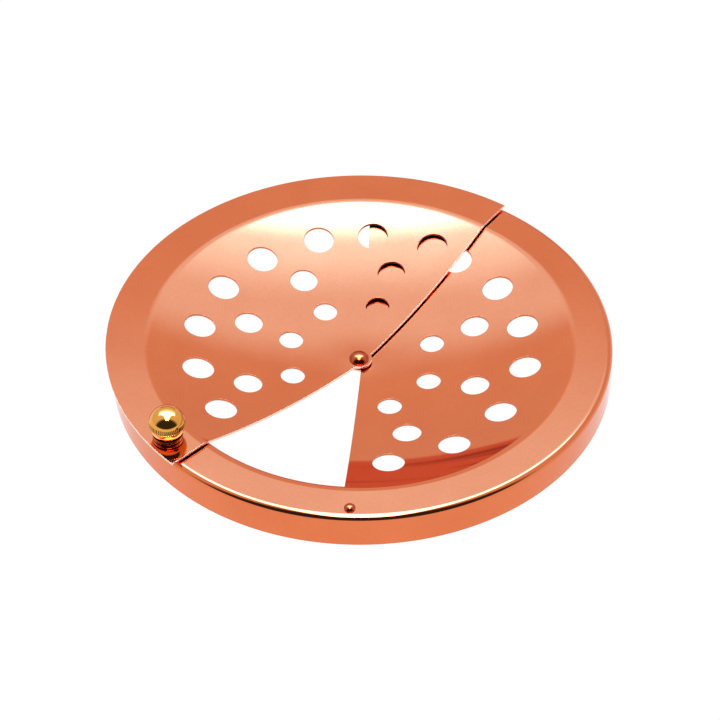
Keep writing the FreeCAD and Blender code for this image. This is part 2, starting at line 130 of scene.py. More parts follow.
def height_and_slope(radius, depth):
    """Height below the flange top, and slope, of the face that lies depth under a sheet's upper face."""
    dish, blend = DISH_RADIUS + depth, BLEND_RADIUS - depth
    if radius <= SEAT_RADIUS:
        return -DISH_DEPTH - depth, 0.0
    if radius <= SEAT_RADIUS + dish * math.sin(LEAN):
        run = radius - SEAT_RADIUS
        return DISH_RADIUS - DISH_DEPTH - math.sqrt(dish ** 2 - run ** 2), math.asin(run / dish)
    if radius <= FLANGE_INNER:
        run = FLANGE_INNER - radius
        return math.sqrt(blend ** 2 - run ** 2) - BLEND_RADIUS, math.asin(run / blend)
    return -depth, 0.0


def polar(radius, angle):
    turn = math.radians(angle)
    return radius * math.cos(turn), radius * math.sin(turn)


def arc_points(radius, first, last):
    """Points along an arc about a sheet's own axis, both ends included."""
    count = max(2, math.ceil(abs(math.radians(last - first)) * radius / LOOP_STEP))
    return [polar(radius, first + (last - first) * i / count) for i in range(count + 1)]


def line_points(start, end):
    """Points along a straight edge without its two ends."""
    count = max(2, math.ceil(math.dist(start, end) / (LOOP_STEP / 2)))
    return [tuple(a + (b - a) * i / count for a, b in zip(start, end)) for i in range(1, count)]


def sector_outline(inner, outer, first, last):
    """Anticlockwise outline of the sector between two radii and two angles."""
    outside = arc_points(outer, first, last)
    inside = arc_points(inner, last, first)
    return outside + line_points(outside[-1], inside[0]) + inside + line_points(inside[-1], outside[0])


def cover_outline():
    """Anticlockwise outline of the cover: its sector, closed by the ear around the pivot.

    Both straight edges pass EDGE_OFFSET outside the pivot.
    """
    first, last = COVER
    far, near = (math.degrees(math.asin(EDGE_OFFSET / radius)) for radius in (COVER_RADIUS, EAR_RADIUS))
    outside = arc_points(COVER_RADIUS, first - far, last + far)
    ear = arc_points(EAR_RADIUS, last + near, first - near + 360.0)
    return outside + line_points(outside[-1], ear[0]) + ear + line_points(ear[-1], outside[0])


def left_of(x, y, angle):
    """How far a point lies to the left of the line through the axis in the given direction."""
    along = polar(1.0, angle)
    return along[0] * y - along[1] * x


def hole_outline(centre, radius):
    """Clockwise circle, so that the metal is on its left as on every outline."""
    count = max(HOLE_STEPS, math.ceil(2 * math.pi * radius / LOOP_STEP))
    turns = [-2 * math.pi * i / count for i in range(count)]
    return [(centre[0] + radius * math.cos(t), centre[1] + radius * math.sin(t)) for t in turns]


def ring_holes(angles, centre=(0.0, 0.0)):
    """Centre and radius of every drilled drain hole of a sheet, whose rings share a centre."""
    holes = []
    for ring, (reach, radius) in RINGS.items():
        for x, y in (polar(reach, angle) for angle in angles[ring]):
            holes.append(((centre[0] + x, centre[1] + y), radius))
    return holes


def outward_normals(loop):
    """Unit vectors out of the metal at each point of a loop, lengthened at corners as a mitre is."""
    points = np.array(loop)
    ahead = np.roll(points, -1, 0) - points
    ahead /= np.linalg.norm(ahead, axis=1)[:, None]
    right = np.column_stack([ahead[:, 1], -ahead[:, 0]])
    total = right + np.roll(right, 1, 0)
    return 2 * total / (total ** 2).sum(1)[:, None]


def grid_rows(outer):
    """Radius, point count and shift of the mesh rings: staggered over the dish, in line further out."""
    blend_start = SEAT_RADIUS + DISH_RADIUS * math.sin(LEAN)
    dish = np.arange(FIRST_RING, blend_start - 0.75 * GRID_STEP, GRID_STEP)
    rows = [(radius, max(12, round(2 * math.pi * radius / GRID_STEP)), 0.5 * (ring % 2))
            for ring, radius in enumerate(dish)]
    blend = [blend_start - BLEND_MARGIN, *np.linspace(blend_start, FLANGE_INNER, BLEND_RINGS),
             FLANGE_INNER + BLEND_MARGIN]
    rows += [(radius, ROUND_STEPS, 0.0) for radius in blend]
    flange = np.linspace(FLANGE_INNER + GRID_STEP, outer, FLANGE_RINGS + 1)[:-1]
    rows += [(radius, ROUND_STEPS // 2, 0.0) for radius in flange]
    return rows


def grid_points(outer, in_metal, loops):
    """Mesh points inside the metal, clear of every loop."""
    edges = np.vstack([np.array(loop) for loop in loops])
    kept = []
    for radius, count, shift in grid_rows(outer):
        spacing = 2 * math.pi * radius / count
        angles = 360.0 * (np.arange(count) + shift) / count
        for point in (polar(radius, angle) for angle in angles):
            if in_metal(*point) and ((edges - point) ** 2).sum(1).min() > (CLEARANCE * spacing) ** 2:
                kept.append(point)
    return kept


def new_mesh(name, points, faces, numbers, materials):
    """A smooth mesh, with the number of a material for each face."""
    mesh = bpy.data.meshes.new(name)
    mesh.from_pydata(points, [], faces)
    for material in materials:
        mesh.materials.append(material)
    mesh.polygons.foreach_set("material_index", numbers)
    mesh.polygons.foreach_set("use_smooth", [True] * len(faces))
    mesh.validate()
    return mesh


def add_to_scene(mesh):
    """The mesh as an object of the same name."""
    mesh.update()
    piece = bpy.data.objects.new(mesh.name, mesh)
    bpy.context.scene.collection.objects.link(piece)
    return piece


class MeshParts:
    """Vertices with their normals, and faces with their material index, of a mesh about its own axis."""

    def __init__(self, axis=(0.0, 0.0)):
        self.axis = axis
        self.points, self.normals, self.faces, self.materials = [], [], [], []

    def add(self, point, normal):
        self.points.append((point[0] + self.axis[0], point[1] + self.axis[1], point[2]))
        self.normals.append(tuple(normal))
        return len(self.points) - 1

    def face(self, corners, material=FACE):
        self.faces.append(tuple(corners))
        self.materials.append(material)

    def band(self, first, second, material=FACE):
        """Quads between two closed rows of vertices."""
        for i in range(len(first)):
            j = (i + 1) % len(first)
            self.face((first[i], first[j], second[j], second[i]), material)

    def make(self, name, materials):
        mesh = new_mesh(name, self.points, self.faces, self.materials, materials)
        mesh.normals_split_custom_set_from_vertices(self.normals)
        return add_to_scene(mesh)


def surface_vertex(parts, point, top, depth):
    """A vertex on the upper face of a sheet, or depth below it on the lower face."""
    radius, angle = math.hypot(*point), math.atan2(point[1], point[0])
    height, slope = height_and_slope(radius, depth)
    up = -1.0 if depth else 1.0
    lean = -math.sin(slope)
    normal = (up * lean * math.cos(angle), up * lean * math.sin(angle), up * math.cos(slope))
    return parts.add((*point, top + height), normal)


def build_sheet(parts, top, loops, plain_loops, outer, in_metal):
    """Upper and lower face of a dished sheet, with a wall round each loop whose edges are eased.

    The last of the loops is the sawn outline, the others are holes. plain_loops get no wall: their
    upper and lower rows are returned for another strip to join on.
    """
    insets = []
    for loop in loops:
        insets.append([tuple(p) for p in np.array(loop) - EDGE * outward_normals(loop)])
    borders = insets + plain_loops
    flat = [point for border in borders for point in border]
    segments, start = [], 0
    for border in borders:
        count = len(border)
        segments += [(start + i, start + (i + 1) % count) for i in range(count)]
        start += count
    flat += grid_points(outer, in_metal, borders)
    found, _, triangles, _, _, _ = delaunay_2d_cdt([Vector(p) for p in flat], segments, [], 0, 1e-9)
    if len(found) != len(flat):
        raise RuntimeError("the outline of a sheet crosses itself")

    upper = [surface_vertex(parts, p, top, 0.0) for p in flat]
    lower = [surface_vertex(parts, p, top, SHEET) for p in flat]
    for triangle in triangles:
        corners = [flat[i] for i in triangle]
        middle = [sum(c[axis] for c in corners) / 3 for axis in (0, 1)]
        if not in_metal(*middle):
            continue
        (ax, ay), (bx, by), (cx, cy) = corners
        order = triangle if (bx - ax) * (cy - ay) > (by - ay) * (cx - ax) else triangle[::-1]
        parts.face([upper[i] for i in order])
        parts.face([lower[i] for i in reversed(order)])

    rows, start = [], 0
    for border in borders:
        rows.append((upper[start:start + len(border)], lower[start:start + len(border)]))
        start += len(border)
    for loop, (above, below) in zip(loops, rows):
        # Hole walls take copper darkened as painted shade; the sawn outline's wall takes pale copper as a
        # painted highlight.
        material = SAWN if loop is loops[-1] else DRILLED
        wall_rows = [[], []]
        for point, out in zip(loop, outward_normals(loop)):
            normal = (*(out / np.linalg.norm(out)), 0.0)
            radius = math.hypot(*point)
            high = top + height_and_slope(radius, 0.0)[0] - EDGE
            low = top + height_and_slope(radius, SHEET)[0] + EDGE
            wall_rows[0].append(parts.add((*point, high), normal))
            wall_rows[1].append(parts.add((*point, low), normal))
        parts.band(wall_rows[0], above, material)
        parts.band(wall_rows[1], wall_rows[0], material)
        parts.band(below, wall_rows[1], material)
    return rows[len(loops):]


def outside_every(holes):
    """A test for points that lie in none of the round holes, each a centre and a radius."""
    centres = np.array([centre for centre, _ in holes])
    reach = np.array([(radius + EDGE) ** 2 for _, radius in holes])
    return lambda x, y: bool((((centres - (x, y)) ** 2).sum(1) > reach).all())


def between(angle, first, last):
    return (angle - first) % 360.0 < (last - first) % 360.0


def turn_of(x, y):
    return math.degrees(math.atan2(y, x))


def skirt_profile():
    """Radius, height and normal of the rows from the flange round the skirt's edge to the flange again."""
    centre = RIM_RADIUS - CORNER_RADIUS
    level = FLANGE_TOP - CORNER_RADIUS
    inside, inner_bend = RIM_RADIUS - SHEET, CORNER_RADIUS - SHEET
    rows = []
    for i in range(1, BEND_STEPS + 1):
        lean = math.radians(90.0 * i / BEND_STEPS)
        rows.append((centre + CORNER_RADIUS * math.sin(lean), level + CORNER_RADIUS * math.cos(lean),
                     (math.sin(lean), math.cos(lean))))
    rows.append((RIM_RADIUS, level / 2, (1, 0)))
    rows.append((RIM_RADIUS, EDGE, (1, 0)))
    rows.append((RIM_RADIUS - EDGE, 0.0, (0, -1)))
    rows.append((inside + EDGE, 0.0, (0, -1)))
    rows.append((inside, EDGE, (-1, 0)))
    rows.append((inside, level / 2, (-1, 0)))
    for i in range(BEND_STEPS, 0, -1):
        lean = math.radians(90.0 * i / BEND_STEPS)
        rows.append((centre + inner_bend * math.sin(lean), level + inner_bend * math.cos(lean),
                     (-math.sin(lean), -math.cos(lean))))
    return rows


def make_base_lid(materials):
    """One sheet: skirt, flange and half a perforated dish, with the other half cut out."""
    stop = node_centre("stop_pin")
    holes = ring_holes(BASE_HOLES) + [(PIVOT, PIVOT_HOLE), (stop, STOP_SHANK)]
    clear = outside_every(holes)
    bend_start = RIM_RADIUS - CORNER_RADIUS

    def in_metal(x, y):
        in_opening = HUB_RADIUS < math.hypot(x, y) < OPENING_RADIUS and between(turn_of(x, y), *OPENING)
        return math.hypot(x, y) <= bend_start and not in_opening and clear(x, y)

    loops = [hole_outline(*hole) for hole in holes]
    loops.append(sector_outline(HUB_RADIUS, OPENING_RADIUS, *OPENING)[::-1])
    rim = [polar(bend_start, 360.0 * i / ROUND_STEPS) for i in range(ROUND_STEPS)]
    parts = MeshParts()
    ((above, below),) = build_sheet(parts, FLANGE_TOP, loops, [rim], bend_start, in_metal)
    row = above
    for radius, height, (out, up) in skirt_profile():
        following = []
        for i in range(ROUND_STEPS):
            x, y = polar(1.0, 360.0 * i / ROUND_STEPS)
            following.append(parts.add((radius * x, radius * y, height), (out * x, out * y, up)))
        parts.band(following, row)
        row = following
    parts.band(below, row)
    return parts.make("base_sheet", materials)


def make_rotating_cover(materials):
    """One sheet: just under half a perforated dish with its flange, and an ear around the pivot."""
    screw = tuple(a - b for a, b in zip(node_centre("knob_screw"), PIVOT))
    holes = ring_holes(COVER_HOLES, COVER_RINGS) + [((0.0, 0.0), TURNING_HOLE), (screw, SCREW_RADIUS)]
    clear = outside_every(holes)
    first, last = COVER

    def in_metal(x, y):
        radius = math.hypot(x, y)
        between_edges = left_of(x, y, first) > -EDGE_OFFSET and left_of(x, y, last) < EDGE_OFFSET
        return (radius <= EAR_RADIUS or (radius <= COVER_RADIUS and between_edges)) and clear(x, y)

    loops = [hole_outline(*hole) for hole in holes] + [cover_outline()]
    parts = MeshParts(PIVOT)
    build_sheet(parts, COVER_TOP, loops, [], COVER_RADIUS, in_metal)
    return parts.make("cover_sheet", materials)


# Turned pieces

SHARP_ANGLE = 35.0


def eased(corners, ease, steps=4):
    """The profile with each corner, given as (radius, height), rounded off unless it is on the axis."""
    points = []
    count = len(corners)
    for i, (radius, height) in enumerate(corners):
        here = np.array((radius, height))
        before, after = np.array(corners[i - 1]), np.array(corners[(i + 1) % count])
        if radius == 0.0:
            points.append(tuple(here))
            continue
        to_before, to_after = before - here, after - here
        length_before, length_after = np.linalg.norm(to_before), np.linalg.norm(to_after)
        cut = min(ease, 0.45 * length_before, 0.45 * length_after)
        start = here + to_before / length_before * cut
        end = here + to_after / length_after * cut
        for step in range(steps + 1):
            share = step / steps
            first = start + (here - start) * share
            second = here + (end - here) * share
            points.append(tuple(first + (second - first) * share))
    return points


def dome_points(start, end, steps):
    """Points after start up to end on the arc between them that is centred on the axis."""
    (r0, z0), (r1, z1) = start, end
    centre = (r1 ** 2 + z1 ** 2 - r0 ** 2 - z0 ** 2) / (2 * (z1 - z0))
    size = math.hypot(r0, z0 - centre)
    first, last = math.atan2(z0 - centre, r0), math.atan2(z1 - centre, r1)
    turns = [first + (last - first) * i / steps for i in range(1, steps + 1)]
    return [(size * math.cos(t), centre + size * math.sin(t)) for t in turns]


def turn(name, profile, place, segments, materials, relief=None, choose=None):
    """A turned piece. relief(radius, height, angle) gives how far a point is cut in from the profile.

    choose(radius, height, angle) gives the number of the material at the middle of a face.
    """
    points, faces, rows, numbers = [], [], [], []
    for radius, height in profile:
        row = []
        if radius < 1e-7:
            points.append((0.0, 0.0, height))
            row = [len(points) - 1] * segments
        else:
            for i in range(segments):
                angle = 2 * math.pi * i / segments
                reach = radius - (relief(radius, height, angle) if relief else 0.0)
                points.append((reach * math.cos(angle), reach * math.sin(angle), height))
                row.append(len(points) - 1)
        rows.append(row)
    spans = zip(zip(rows, profile), zip(rows[1:] + rows[:1], profile[1:] + profile[:1]))
    for (first, start), (second, end) in spans:
        if first[0] == first[1] and second[0] == second[1]:
            continue
        radius, height = ((a + b) / 2 for a, b in zip(start, end))
        for i in range(segments):
            j = (i + 1) % segments
            corners = (first[i], first[j], second[j], second[i])
            faces.append(tuple(dict.fromkeys(corners)))
            numbers.append(choose(radius, height, 2 * math.pi * (i + 0.5) / segments) if choose else 0)
    placed = [Vector(point) + Vector(place) for point in points]
    mesh = new_mesh(name, placed, faces, numbers, materials)
    mesh.set_sharp_from_angle(angle=math.radians(SHARP_ANGLE))
    return add_to_scene(mesh)


def make_pivot(material):
    """Domed rivet head on its shank, with the peened tail below."""
    low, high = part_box("pivot_rivet")
    head_radius, shank, tail, tail_height = 0.0033, 0.0016, 0.0025, 0.00045
    head_height, head_edge = 0.0024, 0.0005
    head_low = high.z - head_height
    tail_top = low.z + tail_height
    side = [(tail, tail_top), (shank, tail_top), (shank, head_low), (head_radius, head_low),
            (head_radius, head_low + head_edge)]
    profile = [(0.0, low.z)] + dome_points((0.0001, low.z), (tail, tail_top), 6)[:-1]
    profile += eased([(0.0, tail_top), *side, (0.0, high.z)], ease=0.0002)[1:-1]
    profile += dome_points(profile[-1], (0.0, high.z), 20)
    return turn("pivot_dome", profile, (*PIVOT, 0), 96, [material])


def make_stop(material):
    low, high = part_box("stop_pin")
    head_radius, shank, head_edge = 0.00185, STOP_SHANK, 0.0005
    corners = [(0.0, low.z), (shank, low.z), (shank, FLANGE_TOP), (head_radius, FLANGE_TOP),
               (head_radius, FLANGE_TOP + head_edge), (0.0, high.z)]
    profile = eased(corners, ease=0.00012)[:-1]
    profile += dome_points(profile[-1], (0.0, high.z), 16)
    return turn("stop_dome", profile, (*node_centre("stop_pin"), 0), 72, [material])


BALL_RADIUS = 0.00605
BALL_CENTRE = 0.0057
BALL_FLAT = 0.0022
NECK_RADIUS = 0.0032
FOOT_RADIUS = 0.005
FOOT_HEIGHT = 0.0015
SCREW_LENGTH = 0.0046
FLUTES = 56
FLUTE_DEPTH = 0.00016
FLUTE_BAND = (-0.0003, 0.0016)
FLUTE_RUNOUT = 0.00008
FLUTE_SHADE = 0.3
# Levels of the foot's side that get brass painted redder, as a reflection of the copper sheet.
FOOT_SIDE = (0.0004, 0.0013)


def on_flutes(height):
    """Whether a height lies in the band of the flutes, at the ball's widest level."""
    low, high = FLUTE_BAND
    return low <= height - COVER_TOP - BALL_CENTRE <= high


def flute(radius, height, angle):
    """Depth of the fine upright flutes round the ball."""
    return FLUTE_DEPTH * (0.5 + 0.5 * math.cos(FLUTES * angle)) if on_flutes(height) else 0.0


def knob_material(radius, height, angle):
    """Polished ball; painted shade, near black, on the flute faces, the ball's underside, the neck and the
    foot's top and bottom; and on the foot's side a duller brass, painted redder as a reflection of the
    copper sheet.

    A flute face is given painted shade where the cosine of its own turn is over FLUTE_SHADE.
    """
    level = height - COVER_TOP
    if level > BALL_FLAT + 0.0001:
        return PAINTED_SHADE if on_flutes(height) and math.cos(FLUTES * angle) > FLUTE_SHADE else POLISHED
    # Below the ball everything is painted shade except the foot's side, whose brass is painted redder as a
    # reflection of the copper sheet.
    low, high = FOOT_SIDE
    return FOOT if radius > NECK_RADIUS + 0.0002 and low < level < high else PAINTED_SHADE


def make_knob(materials):
    """Fluted ball on a neck and a round foot, bored from below for its screw."""
    flat_radius = math.sqrt(BALL_RADIUS ** 2 - (BALL_CENTRE - BALL_FLAT) ** 2)
    corners = [(SCREW_RADIUS, 0.0), (FOOT_RADIUS, 0.0), (FOOT_RADIUS, FOOT_HEIGHT),
               (NECK_RADIUS, FOOT_HEIGHT), (NECK_RADIUS, BALL_FLAT), (flat_radius, BALL_FLAT)]
    profile = eased([(0.0, 0.0), *corners, (flat_radius + 0.0004, BALL_FLAT + 0.0006)], ease=0.0003)[1:-5]
    levels = np.concatenate([
        np.linspace(profile[-1][1] - BALL_CENTRE, FLUTE_BAND[0] - FLUTE_RUNOUT, 14)[1:],
        [FLUTE_BAND[0]], np.linspace(*FLUTE_BAND, 6)[1:-1], [FLUTE_BAND[1]],
        [FLUTE_BAND[1] + FLUTE_RUNOUT],
    ])
    profile += [(math.sqrt(BALL_RADIUS ** 2 - z ** 2), BALL_CENTRE + z) for z in levels]
    profile += dome_points(profile[-1], (0.0, BALL_CENTRE + BALL_RADIUS), 28)
    profile += [(0.0, SCREW_LENGTH), (SCREW_RADIUS, SCREW_LENGTH)]
    lifted = [(radius, COVER_TOP + height) for radius, height in profile]
    return turn("knob_ball", lifted, (*node_centre("knob"), 0), FLUTES * 8, materials, flute, knob_material)


# Materials

def node(tree, kind, x, y, **settings):
    made = tree.nodes.new(kind)
    made.location = (x, y)
    for key, value in settings.items():
        setattr(made, key, value)
    return made


def metal(name, dark, light, roughness, coat, grain, scale=1.0):
    """A metal with a clouded colour, uneven gloss and fine grain.

    roughness is (lowest, highest), grain is (waves per metre, depth in metres), and scale shrinks the
    clouds.
    """
    material = bpy.data.materials.new(name)
    material.use_nodes = True
    tree = material.node_tree
    tree.nodes.clear()
    output = node(tree, "ShaderNodeOutputMaterial", 900, 0)
    shader = node(tree, "ShaderNodeBsdfPrincipled", 600, 0)
    shader.inputs["Metallic"].default_value = 1.0
    shader.inputs["Coat Weight"].default_value = coat
    shader.inputs["Coat Roughness"].default_value = 0.25
    shader.inputs["Coat IOR"].default_value = 1.45
    place = node(tree, "ShaderNodeTexCoord", -900, 0)

    cloud = node(tree, "ShaderNodeTexNoise", -600, 250)
    cloud.inputs["Scale"].default_value = 45.0 * scale
    cloud.inputs["Detail"].default_value = 5.0
    cloud.inputs["Roughness"].default_value = 0.62
    speckle = node(tree, "ShaderNodeTexNoise", -600, 0)
    speckle.inputs["Scale"].default_value = grain[0] * 0.45
    speckle.inputs["Detail"].default_value = 3.0
    blend = node(tree, "ShaderNodeMix", -350, 150, data_type="FLOAT")
    blend.inputs["Factor"].default_value = 0.4
    colours = node(tree, "ShaderNodeValToRGB", -100, 200)
    colours.color_ramp.elements[0].position = 0.3
    colours.color_ramp.elements[0].color = (*dark, 1.0)
    colours.color_ramp.elements[1].position = 0.7
    colours.color_ramp.elements[1].color = (*light, 1.0)
    gloss = node(tree, "ShaderNodeMapRange", -100, -60)
    gloss.inputs["From Min"].default_value = 0.3
    gloss.inputs["From Max"].default_value = 0.7
    gloss.inputs["To Min"].default_value = roughness[0]
    gloss.inputs["To Max"].default_value = roughness[1]

    grit = node(tree, "ShaderNodeTexNoise", -600, -300)
    grit.inputs["Scale"].default_value = grain[0]
    grit.inputs["Detail"].default_value = 4.0
    bump = node(tree, "ShaderNodeBump", 300, -300)
    bump.inputs["Strength"].default_value = 1.0
    bump.inputs["Distance"].default_value = grain[1]

    links = tree.links
    for texture in (cloud, speckle, grit):
        links.new(place.outputs["Object"], texture.inputs["Vector"])
    links.new(cloud.outputs["Fac"], blend.inputs["A"])
    links.new(speckle.outputs["Fac"], blend.inputs["B"])
    links.new(blend.outputs["Result"], colours.inputs["Fac"])
    links.new(blend.outputs["Result"], gloss.inputs["Value"])
    links.new(colours.outputs["Color"], shader.inputs["Base Color"])
    links.new(gloss.outputs["Result"], shader.inputs["Roughness"])
    links.new(grit.outputs["Fac"], bump.inputs["Height"])
    links.new(bump.outputs["Normal"], shader.inputs["Normal"])
    links.new(shader.outputs["BSDF"], output.inputs["Surface"])
    return material


COPPER_DARK, COPPER_LIGHT = (0.735, 0.172, 0.06), (0.795, 0.206, 0.077)
copper_base = metal("copper_base", COPPER_DARK, COPPER_LIGHT, (0.03, 0.055), 0.15, (2600.0, 3e-7))
copper_cover = metal("copper_cover", COPPER_DARK, COPPER_LIGHT, (0.03, 0.055), 0.15, (2600.0, 3e-7), 1.2)
# Hole walls: a rougher drilled finish, and a colour darker than the face as painted shade inside the holes.
copper_drilled_painted_shade = metal("copper_drilled_painted_shade", (0.56, 0.15, 0.065), (0.68, 0.2, 0.1), (0.25, 0.36), 0.0,
                       (4000.0, 2e-6))
# Sawn outline walls: pale cream copper, a painted highlight for the bright edge line, with a rough finish.
copper_sawn_painted_highlight = metal("copper_sawn_painted_highlight", (0.9, 0.58, 0.42), (0.97, 0.7, 0.54), (0.3, 0.42), 0.0,
                    (4000.0, 2e-6))
copper_rivet = metal("copper_rivet", (0.44, 0.07, 0.022), (0.56, 0.11, 0.036), (0.1, 0.15), 0.1,
                     (3000.0, 3e-7), 3.0)
copper_washer = metal("copper_washer", (0.5, 0.14, 0.065), (0.62, 0.18, 0.085), (0.2, 0.3), 0.0,
                      (3500.0, 2e-6), 3.0)
brass_knob = metal("brass_knob", (0.76, 0.33, 0.055), (0.86, 0.4, 0.08), (0.03, 0.06), 0.1,
                   (3000.0, 3e-7), 3.0)
# Near-black painted shade for the flutes' hollows, the ball's underside, the neck and the foot's top and
# bottom.
brass_painted_shade = metal("brass_painted_shade", (0.03, 0.012, 0.005), (0.07, 0.028, 0.01), (0.3, 0.45), 0.0,
                     (4000.0, 2e-6))
# The foot's side: brass painted darker and redder as a reflection of the copper sheet, with a duller
# finish.
brass_foot_painted_reflection = metal("brass_foot_painted_reflection", (0.46, 0.11, 0.025), (0.6, 0.17, 0.04), (0.16, 0.26), 0.0,
                   (3500.0, 2e-6), 3.0)
brass_screw = metal("brass_screw", (0.58, 0.36, 0.13), (0.66, 0.44, 0.18), (0.24, 0.36), 0.0,
                    (3000.0, 3e-6), 3.0)


# Pieces on their bodies

def place_piece(piece, body, node_name):
    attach(piece, body)
    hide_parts(node_name)


base_metals, cover_metals = ((face, copper_drilled_painted_shade, copper_sawn_painted_highlight) for face in (copper_base, copper_cover))
place_piece(make_base_lid(base_metals), "base", "base_lid")
place_piece(make_rotating_cover(cover_metals), "cover", "rotating_cover")
place_piece(make_pivot(copper_rivet), "base", "pivot_rivet")
place_piece(make_stop(copper_rivet), "base", "stop_pin")
place_piece(make_knob((brass_knob, brass_painted_shade, brass_foot_painted_reflection)), "cover", "knob")

for name, material in (("spacer_washer", copper_washer), ("rivet_washer", copper_washer),
                       ("knob_screw", brass_screw)):
    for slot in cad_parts[name].material_slots:
        slot.link = "OBJECT"
        slot.material = material


# Studio

WHITE = (1.0, 1.0, 1.0, 1.0)
BACKDROP = 1.02
FLOOR_HALF = 4.0
FLOOR_LEVEL = -0.0001
CEILING = 0.9
SOFTBOX_HALF = 0.95
SOFTBOX_FRONT, SOFTBOX_BACK = -0.58, 1.1
COOL = (0.12, 0.5, 1.0, 1.0)
STRIP_HALF = 0.6
STRIP_BEHIND = 1.3
STRIP_LOW, STRIP_HIGH = 0.16, 0.47
FRONT_WALL = 0.055


def floor_material():
    """Even white, seen from above only."""
    material = bpy.data.materials.new("floor_white")
    material.use_nodes = True
    tree = material.node_tree
    tree.nodes.clear()
    output = node(tree, "ShaderNodeOutputMaterial", 600, 0)
    light = node(tree, "ShaderNodeEmission", 0, 0)
    light.inputs["Color"].default_value = WHITE
    light.inputs["Strength"].default_value = BACKDROP
    side = node(tree, "ShaderNodeNewGeometry", 0, 250)
    clear = node(tree, "ShaderNodeBsdfTransparent", 0, -150)
    mix = node(tree, "ShaderNodeMixShader", 300, 0)
    tree.links.new(side.outputs["Backfacing"], mix.inputs["Fac"])
    tree.links.new(light.outputs["Emission"], mix.inputs[1])
    tree.links.new(clear.outputs["BSDF"], mix.inputs[2])
    tree.links.new(mix.outputs["Shader"], output.inputs["Surface"])
    return material


def card(name, corners, material, seen=False):
    """A flat studio card. Cards other than the floor show only in reflections."""
    mesh = bpy.data.meshes.new(name)
    mesh.from_pydata(corners, [], [tuple(range(len(corners)))])
    mesh.materials.append(material)
    piece = add_to_scene(mesh)
    piece.visible_camera = seen


floor_corners = [(x * FLOOR_HALF, y * FLOOR_HALF, FLOOR_LEVEL)
                 for x, y in ((-1, -1), (1, -1), (1, 1), (-1, 1))]
card("floor", floor_corners, floor_material(), seen=True)


def ramp(tree, source, x, y, start, end, low, high, smooth="SMOOTHSTEP"):
    """Value that goes from low to high while the source goes from start to end."""
    made = node(tree, "ShaderNodeMapRange", x, y, interpolation_type=smooth)
    for label, value in (("From Min", start), ("From Max", end), ("To Min", low), ("To Max", high)):
        made.inputs[label].default_value = value
    tree.links.new(source, made.inputs["Value"])
    return made.outputs["Result"]


def calculate(tree, operation, x, y, first, second=None):
    """Result of one step of arithmetic on one or two values."""
    made = node(tree, "ShaderNodeMath", x, y, operation=operation)
    tree.links.new(first, made.inputs[0])
    if second is not None:
        tree.links.new(second, made.inputs[1])
    return made.outputs["Value"]


def softbox_material():
    """Overhead panel: narrow and neutral in front, wide and cool behind, with edges that fade."""
    material = bpy.data.materials.new("softbox")
    material.use_nodes = True
    tree = material.node_tree
    tree.nodes.clear()
    output = node(tree, "ShaderNodeOutputMaterial", 1300, 0)
    light = node(tree, "ShaderNodeEmission", 1000, 0)
    clear = node(tree, "ShaderNodeBsdfTransparent", 1000, -150)
    add = node(tree, "ShaderNodeAddShader", 1150, 0)
    place = node(tree, "ShaderNodeTexCoord", -1000, 0)
    axes = node(tree, "ShaderNodeSeparateXYZ", -800, 0)
    tree.links.new(place.outputs["Object"], axes.inputs["Vector"])
    along = axes.outputs["Y"]
    front = ramp(tree, along, -550, 300, SOFTBOX_FRONT, 0.1, 0.18, 0.36, "LINEAR")
    back = ramp(tree, along, -550, 50, -0.12, 0.42, 0.0, 0.58)
    width = calculate(tree, "ADD", -350, 200, front, back)
    across = calculate(tree, "ABSOLUTE", -550, 550, axes.outputs["X"])
    sides = ramp(tree, calculate(tree, "DIVIDE", -150, 400, across, width), 50, 400, 1.0, 0.72, 0.0, 1.0)
    fall = ramp(tree, along, -150, 100, 0.46, 0.33, 0.0, 12.0, "SMOOTHERSTEP")
    core = calculate(tree, "MULTIPLY", 300, 250, fall, sides)
    haze = ramp(tree, along, -150, -200, 1.06, 0.8, 0.0, 1.6)
    rise = ramp(tree, along, -150, -450, 0.7, 0.4, 0.0, 3.4)
    behind = ramp(tree, along, -150, -700, 0.08, 0.34, 0.0, 1.0)
    faint = calculate(tree, "MULTIPLY", 450, -400, calculate(tree, "ADD", 300, -300, haze, rise), behind)
    tree.links.new(calculate(tree, "ADD", 600, 0, core, faint), light.inputs["Strength"])
    tint = node(tree, "ShaderNodeMix", 750, 250, data_type="RGBA")
    tint.inputs["A"].default_value = WHITE
    tint.inputs["B"].default_value = COOL
    tree.links.new(ramp(tree, along, 550, 450, 0.05, 0.3, 0.0, 1.0), tint.inputs["Factor"])
    tree.links.new(tint.outputs["Result"], light.inputs["Color"])
    tree.links.new(light.outputs["Emission"], add.inputs[0])
    tree.links.new(clear.outputs["BSDF"], add.inputs[1])
    tree.links.new(add.outputs["Shader"], output.inputs["Surface"])
    return material


softbox_corners = [(x * SOFTBOX_HALF, y, CEILING) for x, y in (
    (-1, SOFTBOX_FRONT), (1, SOFTBOX_FRONT), (1, SOFTBOX_BACK), (-1, SOFTBOX_BACK))]
card("softbox_card", softbox_corners, softbox_material())


